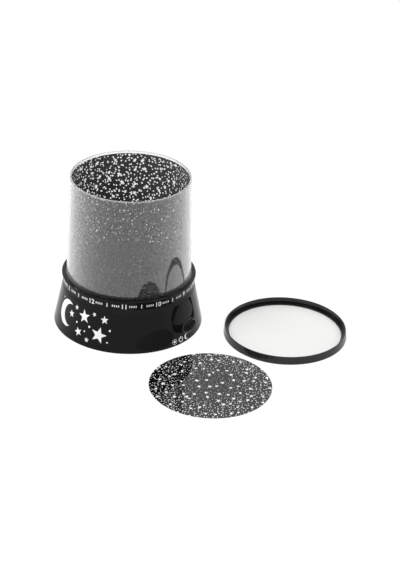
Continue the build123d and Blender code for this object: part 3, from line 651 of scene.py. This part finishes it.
class STARPROJECTOR_OT_housing(bpy.types.Operator):
    """Finish the moulded base, its collar, button, cover, door and feet."""

    bl_idname = "starprojector.housing"
    bl_label = "Base"

    def execute(self, context):
        plastic = tuple(context.scene.star_projector_housing.plastic)
        gloss = {"Wave_Size": 9.0, "smooth": 0.03, "dull": 0.09, "bump": 0.03, "dust": 0.04, "level": 0.15}
        finish_nodes(moulded("Base gloss", plastic, **gloss), "base_housing", "retaining_collar")
        satin = {"smooth": 0.12, "dull": 0.26, "bump": 0.03, "dust": 0.02, "level": 0.2}
        finish_nodes(moulded("Button cap", rgb(0.008), **satin), "power_button")
        satin.update(smooth=0.16, dull=0.3, bump=0.02, level=0.4)
        finish_nodes(moulded("Button frame", rgb(0.05), **satin), "button_bezel")
        fine = {"Grain_Size": 0.5, "Grain": 1.6, "smooth": 0.42, "dull": 0.6, "bump": 0.35, "dust": 0.12}
        textured = moulded("Fine texture", rgb(0.02), **fine)
        finish_nodes(textured, "bottom_cover", "battery_door", "led_holder")
        finish_nodes(textured, "push_switch", "power_inlet", "board_components")
        soft = {"Grain_Size": 0.3, "Grain": 1.2, "smooth": 0.6, "dull": 0.85, "bump": 0.3, "dust": 0.5}
        finish_nodes(moulded("Foot rubber", rgb(0.03), **soft), "rubber_feet")
        return {"FINISHED"}


class STARPROJECTOR_OT_electrics(bpy.types.Operator):
    """Finish the lamps, batteries, contacts, boards, screws and wires."""

    bl_idname = "starprojector.electrics"
    bl_label = "Lamps and batteries"

    def execute(self, context):
        for lamp, tint in {
            "led_white": (0.96, 0.96, 0.9, 1.0),
            "led_red": (0.96, 0.8, 0.78, 1.0),
            "led_green": (0.8, 0.95, 0.82, 1.0),
            "led_blue": (0.8, 0.86, 0.97, 1.0),
        }.items():
            finish_nodes(clear(lamp + " lens", tint, roughness=0.05, ior=1.5), lamp)
        spring_steel = metal("Plated spring steel", rgb(0.62, (1.0, 0.98, 0.94)), roughness=0.25)
        finish_nodes(spring_steel, "contact_plates", "contact_springs")
        zinc = metal("Zinc plated screw", rgb(0.42, (1.0, 1.0, 1.03)), roughness=0.35)
        finish_nodes(zinc, "housing_screws", "board_screws")
        for name, colour, smooth, dull, nodes in (
            ("Solder mask", (0.02, 0.13, 0.05, 1.0), 0.25, 0.4, ("circuit_board", "switch_board")),
            ("Red insulation", (0.45, 0.03, 0.02, 1.0), 0.4, 0.55, ("lead_positive", "inlet_leads")),
            ("Black insulation", rgb(0.02), 0.4, 0.55, ("lead_negative", "switch_leads")),
            ("White nylon", rgb(0.8), 0.35, 0.5, ("switch_plunger",)),
        ):
            finish_nodes(moulded(name, colour, smooth=smooth, dull=dull), *nodes)
        for number in (1, 2, 3):
            finish_nodes(self.cell_sleeve(number), f"battery_cell_{number}")
        return {"FINISHED"}

    def cell_sleeve(self, number):
        """Shrink sleeve in two plain colours, with bare metal at both ends."""
        low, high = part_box(f"battery_cell_{number}")
        material, tree, shader = start_material(f"Cell sleeve {number}")
        along = parts_of(tree, on_object(tree))[1]
        ends = (0.0, 1.0) if number % 2 else (1.0, 0.0)
        share = spread(tree, along, low.y, high.y, *ends)
        band = spread(tree, share, 0.70, 0.71)
        cap = calc(tree, "MAXIMUM", spread(tree, share, 0.995, 0.998), spread(tree, share, 0.005, 0.002))
        sleeve = blend_colour(tree, band, (0.05, 0.07, 0.09, 1.0), (0.55, 0.38, 0.12, 1.0))
        base = blend_colour(tree, cap, sleeve, rgb(0.6))
        join(tree, shader, Base_Color=base, Roughness=0.3, Metallic=cap)
        return material


# ---- Prints on the base ----
BAND_RADIUS = 0.0482
BAND_FOOT = 0.0326
BAND_TOP = 0.0384
SKIRT_FOOT_RADIUS = 0.0553
SKIRT_TOP_RADIUS = 0.0492
SKIRT_TOP = 0.0298
SKIRT_MEAN_RADIUS = (SKIRT_FOOT_RADIUS + SKIRT_TOP_RADIUS) / 2


def on_band(across, height, lift):
    """A flat print wrapped round the dial's band: azimuth = across / band radius."""
    return facing(across / BAND_RADIUS, BAND_RADIUS + lift, height)


def on_skirt(across, height, lift):
    """A flat print wrapped on the skirt's cone: azimuth = across / mean radius."""
    taper = (SKIRT_FOOT_RADIUS - SKIRT_TOP_RADIUS) / SKIRT_TOP
    radius = SKIRT_FOOT_RADIUS - taper * height + lift * math.hypot(1.0, taper)
    return facing(across / SKIRT_MEAN_RADIUS, radius, height)


def skirt_spot(degrees, height):
    """A place on the flat print of the skirt, from degrees round from the front and a height."""
    return (math.radians(degrees) * SKIRT_MEAN_RADIUS, height)


def slab(name, flat, wrap, thickness, wrap_rows=False):
    """A print between two edges: flat[i, j] = (across, height) on a grid, lifted by the thickness, with its
    underside just below the surface it is printed on, closed all round."""
    rows, columns = flat.shape[:2]
    upper = wrap(flat[..., 0], flat[..., 1], thickness)
    under = wrap(flat[..., 0], flat[..., 1], -thickness / 2)
    section = np.concatenate([upper, under[:, ::-1]], axis=1)
    faces = grid_faces(rows, 2 * columns, wrap_rows, True).tolist()
    if not wrap_rows:
        last = (rows - 1) * 2 * columns
        faces.append(list(range(2 * columns)))
        faces.append([last + corner for corner in reversed(range(2 * columns))])
    return make_piece(name, section, faces, 40.0)


def star_shape(centre, radius, turn):
    """A five-pointed star: tips and notches by turns, scaled from 0 at the centre to 1 at the outline."""
    corner = np.arange(10)
    notch = radius * 0.42
    reach = np.where(corner % 2 == 0, radius, notch)
    angle = math.pi / 2 + turn + corner * math.pi / 5
    outline = np.stack([centre[0] + reach * np.cos(angle), centre[1] + reach * np.sin(angle)], axis=-1)
    scale = np.linspace(0.0, 1.0, 4)[None, :, None]
    return np.array(centre) * (1 - scale) + outline[:, None, :] * scale


def ring_shape(centre, inner, outer, start, end, steps):
    """Part of a ring, row by row: radius from inner to outer at each angle."""
    angle = np.linspace(start, end, steps)[:, None]
    radius = np.linspace(inner, outer, 3)[None, :]
    return np.stack([centre[0] + radius * np.cos(angle), centre[1] + radius * np.sin(angle)], axis=-1)


def dot_shape(centre, radius):
    """A round dot: a ring with no hole, closed on itself."""
    return ring_shape(centre, 0.0, radius, 0.0, FULL_TURN, 25)[:-1]


def crescent_shape(centre, radius, bite, shift, steps):
    """A crescent, row by row from tip to tip: between the outer circle and the circle that bites into it,
    which meet where the two circles cross."""
    cross = (shift**2 + radius**2 - bite**2) / (2 * shift)
    outer_half = math.acos(cross / radius)
    inner_half = math.acos((cross - shift) / bite)
    t = np.linspace(0, 1, steps)
    outer = outer_half + t * (FULL_TURN - 2 * outer_half)
    inner = inner_half + t * (FULL_TURN - 2 * inner_half)
    edge_a = np.stack([radius * np.cos(outer), radius * np.sin(outer)], axis=-1)
    edge_b = np.stack([shift + bite * np.cos(inner), bite * np.sin(inner)], axis=-1)
    share = np.linspace(0, 1, 5)[None, :, None]
    return np.array(centre) + edge_a[:, None, :] * (1 - share) + edge_b[:, None, :] * share


def bar_shape(centre, width, height, turn=0.0):
    """A bar's four corners: (x, y) turned to (x cos t - y sin t, x sin t + y cos t)."""
    x, y = np.meshgrid([-width / 2, width / 2], [-height / 2, height / 2], indexing="ij")
    across = centre[0] + x * math.cos(turn) - y * math.sin(turn)
    up = centre[1] + x * math.sin(turn) + y * math.cos(turn)
    return np.stack([across, up], axis=-1)


def gather(name, pieces, material):
    """Joins prints into one piece that rides on the base."""
    bpy.ops.object.select_all(action="DESELECT")
    for piece in pieces:
        piece.select_set(True)
    bpy.context.view_layer.objects.active = pieces[0]
    if len(pieces) > 1:
        bpy.ops.object.join()
    whole = bpy.context.view_layer.objects.active
    whole.name = name
    whole.data.name = name
    give(whole, material)
    whole.select_set(False)
    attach(whole, "base")


def figure(text, across, height, size, wrap, thickness):
    """A number set in the plain built-in face and wrapped on the surface. Its extrusion only tells its top
    from its underside, and its lines are a little swollen."""
    share_of_size, swell = 0.7, 0.0001
    curve = bpy.data.curves.new("figure", "FONT")
    curve.body = text
    curve.size = size / share_of_size
    curve.align_x = "CENTER"
    curve.align_y = "BOTTOM_BASELINE"
    curve.extrude = 0.5
    curve.offset = swell
    curve.resolution_u = 4
    letter = bpy.data.objects.new("figure", curve)
    bpy.context.scene.collection.objects.link(letter)
    mesh = bpy.data.meshes.new_from_object(letter)
    bpy.data.objects.remove(letter)
    spots = np.zeros(len(mesh.vertices) * 3)
    mesh.vertices.foreach_get("co", spots)
    spots = spots.reshape(-1, 3)
    lift = np.where(spots[:, 2] > 0, thickness, -thickness / 2)
    faces = [tuple(polygon.vertices) for polygon in mesh.polygons]
    points = wrap(spots[:, 0] + across, spots[:, 1] + height, lift)
    return make_piece("figure", points, faces, 30.0)


def white_print(name, colour):
    """Screen-printed white: slightly uneven cover and a soft sheen."""
    material, tree, shader = start_material(name)
    cover = noise(tree, on_object(tree), 900.0, 3.0)
    base = blend_colour(tree, spread(tree, cover, 0.3, 0.7), rgb(0.93, colour), rgb(1.0, colour))
    join(tree, shader, Base_Color=base, Roughness=spread(tree, cover, 0.2, 0.8, 0.35, 0.5))
    return material


def print_on_skirt(name, shapes, paint, housing):
    """Prints flat shapes on the skirt as one piece; each says whether its rows close on themselves."""
    pieces = [slab("mark", flat, on_skirt, housing.print_height, closed) for flat, closed in shapes]
    gather(name, pieces, white_print(paint, housing.paint))


class STARPROJECTOR_OT_dial(bpy.types.Operator):
    """Print the dial's ticks and numbers round the band."""

    bl_idname = "starprojector.dial"
    bl_label = "Dial print"

    def execute(self, context):
        housing = context.scene.star_projector_housing
        tall, proud = housing.dial_height, housing.print_height
        count = housing.dial_numbers
        step = FULL_TURN / count
        first = math.radians(-1.0)
        middle = (BAND_FOOT + BAND_TOP) / 2
        ticks = [(share * side, 0.45) for share in (0.16, 0.22, 0.28, 0.34) for side in (-1, 1)]
        ticks.append((0.5, 0.85))
        tick_width = 0.0007
        pieces = []
        for index in range(count):
            number = (10 - index) % count + 1
            centre = first + index * step
            low = middle - tall / 2
            pieces.append(figure(str(number), centre * BAND_RADIUS, low, tall, on_band, proud))
            for share, height in ticks:
                across = (centre + share * step) * BAND_RADIUS
                bar = bar_shape((across, middle), tick_width, tall * height)
                pieces.append(slab("tick", bar, on_band, proud))
        gather("dial_print", pieces, white_print("Dial white", housing.paint))
        return {"FINISHED"}


class STARPROJECTOR_OT_motif(bpy.types.Operator):
    """Print a plain night motif on the skirt: a crescent, stars and dots."""

    bl_idname = "starprojector.motif"
    bl_label = "Night motif"

    def execute(self, context):
        moon = crescent_shape(skirt_spot(-57.0, 0.0178), radius=0.0098, bite=0.0082, shift=0.0048, steps=49)
        shapes = [(moon, False)]
        for degrees, height, radius, turn in (
            (-36.0, 0.0222, 0.0052, 0.15),
            (-21.0, 0.0118, 0.0062, -0.2),
            (-40.0, 0.0093, 0.0034, 0.4),
            (-17.0, 0.0238, 0.0032, 0.1),
            (-50.5, 0.0195, 0.0030, 0.3),
            (-31.0, 0.0058, 0.0020, 0.0),
            (-26.5, 0.0262, 0.0018, 0.5),
            (-45.5, 0.0262, 0.0020, 0.2),
        ):
            shapes.append((star_shape(skirt_spot(degrees, height), radius, turn), True))
        for degrees, height, radius in (
            (-30.0, 0.0160, 0.0008),
            (-43.0, 0.0158, 0.0007),
            (-12.0, 0.0165, 0.0008),
            (-34.0, 0.0115, 0.0006),
            (-66.0, 0.0265, 0.0006),
            (-13.5, 0.0075, 0.0006),
        ):
            shapes.append((dot_shape(skirt_spot(degrees, height), radius), True))
        print_on_skirt("night_motif", shapes, "Motif white", context.scene.star_projector_housing)
        return {"FINISHED"}


class STARPROJECTOR_OT_switch_mark(bpy.types.Operator):
    """Print three plain marks under the button: a lamp with rays, an on-off sign and a moon."""

    bl_idname = "starprojector.switch_mark"
    bl_label = "Switch marks"

    def execute(self, context):
        lamp, switch, moon = [skirt_spot(degrees, 0.0038) for degrees in (41.5, 48.0, 54.5)]
        shapes = [(dot_shape(lamp, 0.0009), True)]
        ray_reach = 0.0018
        for turn in np.linspace(0, FULL_TURN, 8, endpoint=False):
            ray = (lamp[0] - ray_reach * math.sin(turn), lamp[1] + ray_reach * math.cos(turn))
            shapes.append((bar_shape(ray, 0.00045, 0.0009, turn), False))
        gap, up = math.radians(32.0), math.pi / 2
        shapes.append((ring_shape(switch, 0.0015, 0.0021, up + gap, up + FULL_TURN - gap, steps=33), False))
        shapes.append((bar_shape((switch[0], switch[1] + 0.0013), 0.0006, 0.0021), False))
        shapes.append((crescent_shape(moon, radius=0.0021, bite=0.0018, shift=0.0011, steps=33), False))
        print_on_skirt("switch_mark", shapes, "Mark white", context.scene.star_projector_housing)
        return {"FINISHED"}


# ---- Stage ----
FLOOR_HALF = 6.0
FLOOR_DROP = 0.0002
PALE_SHARE = 0.85  # how much of a look at the floor is its own white, and the rest keeps the shadows
FLOOR_GLOW = 1.08  # that white, which with the rest comes to 1
FRONT_FADE = 0.26
SOFTBOXES = (
    ("key", (-0.9, -0.7, 1.25), (0.9, 0.9)),
    ("right", (1.0, 0.1, 1.1), (0.7, 0.9)),
    ("left", (-1.25, 0.25, 0.6), (0.7, 0.9)),
    ("top", (0.05, 0.25, 1.4), (0.9, 0.9)),
)
LIT_SPOT = Vector((0.03, -0.03, 0.05))
CAMERA_PLACE = Vector((0.052842, -1.225141, 0.694773))
CAMERA_PITCH = math.radians(28.496)
CAMERA_ROLL = math.radians(2.338)


class STARPROJECTOR_OT_stage(bpy.types.Operator):
    """Lay the pale floor, hang the softboxes and set the camera."""

    bl_idname = "starprojector.stage"
    bl_label = "Stage"

    def execute(self, context):
        stage = context.scene.star_projector_stage
        self.lay_floor()
        self.fill_surround(context, stage.sky)
        for name, where, size in SOFTBOXES:
            self.softbox(context, name, where, size, stage.key if name == "key" else stage.fill)
        self.set_camera(context, stage.lens)
        context.scene.view_settings.view_transform = "Standard"
        return {"FINISHED"}

    def pale(self, tree, surface_shader, strength):
        """White where the eye, a mirror or clear plastic looks at it, and plain elsewhere."""
        path = place(tree, "ShaderNodeLightPath").outputs
        seen = calc(tree, "MAXIMUM", path["Is Camera Ray"], path["Is Glossy Ray"])
        seen = calc(tree, "MAXIMUM", seen, path["Is Transmission Ray"])
        white = place(tree, "ShaderNodeEmission", {"Color": rgb(1.0), "Strength": strength})
        factor = calc(tree, "MULTIPLY", seen, PALE_SHARE)
        mix = {0: factor, 1: surface_shader, 2: white.outputs[0]}
        return place(tree, "ShaderNodeMixShader", mix).outputs[0]

    def lay_floor(self):
        """A flat square floor just under the feet, in front a little dimmer in reflections."""
        ends = [-FLOOR_HALF, FLOOR_HALF]
        x, y = np.meshgrid(ends, ends, indexing="ij")
        points = np.stack([x, y, np.full_like(x, -FLOOR_DROP)], axis=-1)
        floor = make_piece("floor", points, grid_faces(2, 2, False, False))
        if floor.data.polygons[0].normal.z < 0:
            floor.data.flip_normals()
        material = bpy.data.materials.new("Pale floor")
        tree = empty_tree(material)
        plain = place(tree, "ShaderNodeBsdfDiffuse", {"Color": rgb(0.9)})
        towards = vector(tree, "NORMALIZE", on_object(tree))
        front = calc(tree, "MULTIPLY", parts_of(tree, towards)[1], -1.0)
        mirrored = place(tree, "ShaderNodeLightPath").outputs["Is Glossy Ray"]
        fade = calc(tree, "MULTIPLY", mirrored, spread(tree, front, 0.0, 1.0, 0.0, FRONT_FADE))
        strength = calc(tree, "MULTIPLY_ADD", fade, -FLOOR_GLOW, FLOOR_GLOW)
        place(tree, "ShaderNodeOutputMaterial", {"Surface": self.pale(tree, plain.outputs[0], strength)})
        give(floor, material)

    def fill_surround(self, context, strength):
        """A pale surround: white to the eye, in reflections dimmer high up on all sides but the back, and
        gentle as a light."""
        world = bpy.data.worlds.new("Surround")
        tree = empty_tree(world)
        path = place(tree, "ShaderNodeLightPath").outputs
        towards = parts_of(tree, place(tree, "ShaderNodeTexCoord").outputs["Generated"])
        behind = spread(tree, towards[1], 0.45, 0.82, 0.35, 1.0)
        low_down = spread(tree, towards[2], 0.22, 0.4, 1.0, 0.0)
        mirrored = calc(tree, "MULTIPLY", path["Is Glossy Ray"], calc(tree, "MAXIMUM", behind, low_down))
        seen = calc(tree, "MAXIMUM", path["Is Camera Ray"], path["Is Transmission Ray"])
        dim = calc(tree, "MULTIPLY", strength, calc(tree, "SUBTRACT", 1.0, path["Is Glossy Ray"]))
        level = calc(tree, "MAXIMUM", calc(tree, "MAXIMUM", seen, mirrored), dim)
        sky = place(tree, "ShaderNodeBackground", {"Color": rgb(1.0), "Strength": level})
        place(tree, "ShaderNodeOutputWorld", {"Surface": sky.outputs[0]})
        context.scene.world = world

    def softbox(self, context, name, where, size, power):
        """A rectangular area lamp that faces the projector."""
        lamp = bpy.data.lights.new(name, "AREA")
        lamp.shape = "RECTANGLE"
        lamp.size, lamp.size_y = size
        lamp.energy = power
        box = bpy.data.objects.new(name, lamp)
        box.location = where
        box.rotation_euler = (LIT_SPOT - Vector(where)).to_track_quat("-Z", "Y").to_euler()
        context.scene.collection.objects.link(box)

    def set_camera(self, context, lens):
        """The camera looks down from in front, with a slight roll."""
        right = Vector((1.0, 0.0, 0.0))
        ahead = Vector((0.0, math.cos(CAMERA_PITCH), -math.sin(CAMERA_PITCH)))
        up = Vector((0.0, math.sin(CAMERA_PITCH), math.cos(CAMERA_PITCH)))
        x_axis = right * math.cos(CAMERA_ROLL) + up * math.sin(CAMERA_ROLL)
        y_axis = up * math.cos(CAMERA_ROLL) - right * math.sin(CAMERA_ROLL)
        turn = Matrix((x_axis, y_axis, -ahead)).transposed()
        lens_data = bpy.data.cameras.new("view")
        lens_data.lens = lens
        lens_data.sensor_width = 36.0
        lens_data.sensor_fit = "AUTO"
        camera = bpy.data.objects.new("view", lens_data)
        camera.matrix_world = Matrix.Translation(CAMERA_PLACE) @ turn.to_4x4()
        context.scene.collection.objects.link(camera)
        context.scene.camera = camera


GROUPS = (
    ("star_projector_cup", STARPROJECTOR_PG_cup, "Cup and film"),
    ("star_projector_print", STARPROJECTOR_PG_print, "Star print"),
    ("star_projector_housing", STARPROJECTOR_PG_housing, "Base"),
    ("star_projector_stage", STARPROJECTOR_PG_stage, "Stage"),
)
OPERATORS = (
    STARPROJECTOR_OT_housing,
    STARPROJECTOR_OT_electrics,
    STARPROJECTOR_OT_cup,
    STARPROJECTOR_OT_film,
    STARPROJECTOR_OT_lid,
    STARPROJECTOR_OT_disc,
    STARPROJECTOR_OT_dial,
    STARPROJECTOR_OT_motif,
    STARPROJECTOR_OT_switch_mark,
    STARPROJECTOR_OT_stage,
)


class STARPROJECTOR_PT_panel(bpy.types.Panel):
    """Lists the projector's settings and its pieces."""

    bl_idname = "STARPROJECTOR_PT_panel"
    bl_label = "Star Projector"
    bl_space_type = "VIEW_3D"
    bl_region_type = "UI"
    bl_category = "Star Projector"

    def draw(self, context):
        for attribute, group, title in GROUPS:
            box = self.layout.box()
            box.label(text=title)
            for name in group.__annotations__:
                box.prop(getattr(context.scene, attribute), name)
        for operator in OPERATORS:
            self.layout.operator(operator.bl_idname)


def register():
    for attribute, group, _ in GROUPS:
        bpy.utils.register_class(group)
        setattr(bpy.types.Scene, attribute, PointerProperty(type=group))
    for operator in OPERATORS:
        bpy.utils.register_class(operator)
    bpy.utils.register_class(STARPROJECTOR_PT_panel)


def unregister():
    bpy.utils.unregister_class(STARPROJECTOR_PT_panel)
    for operator in reversed(OPERATORS):
        bpy.utils.unregister_class(operator)
    for attribute, group, _ in reversed(GROUPS):
        delattr(bpy.types.Scene, attribute)
        bpy.utils.unregister_class(group)


def main():
    register()
    for operator in OPERATORS:
        category, name = operator.bl_idname.split(".")
        getattr(getattr(bpy.ops, category), name)()


if __name__ == "__main__":
    main()
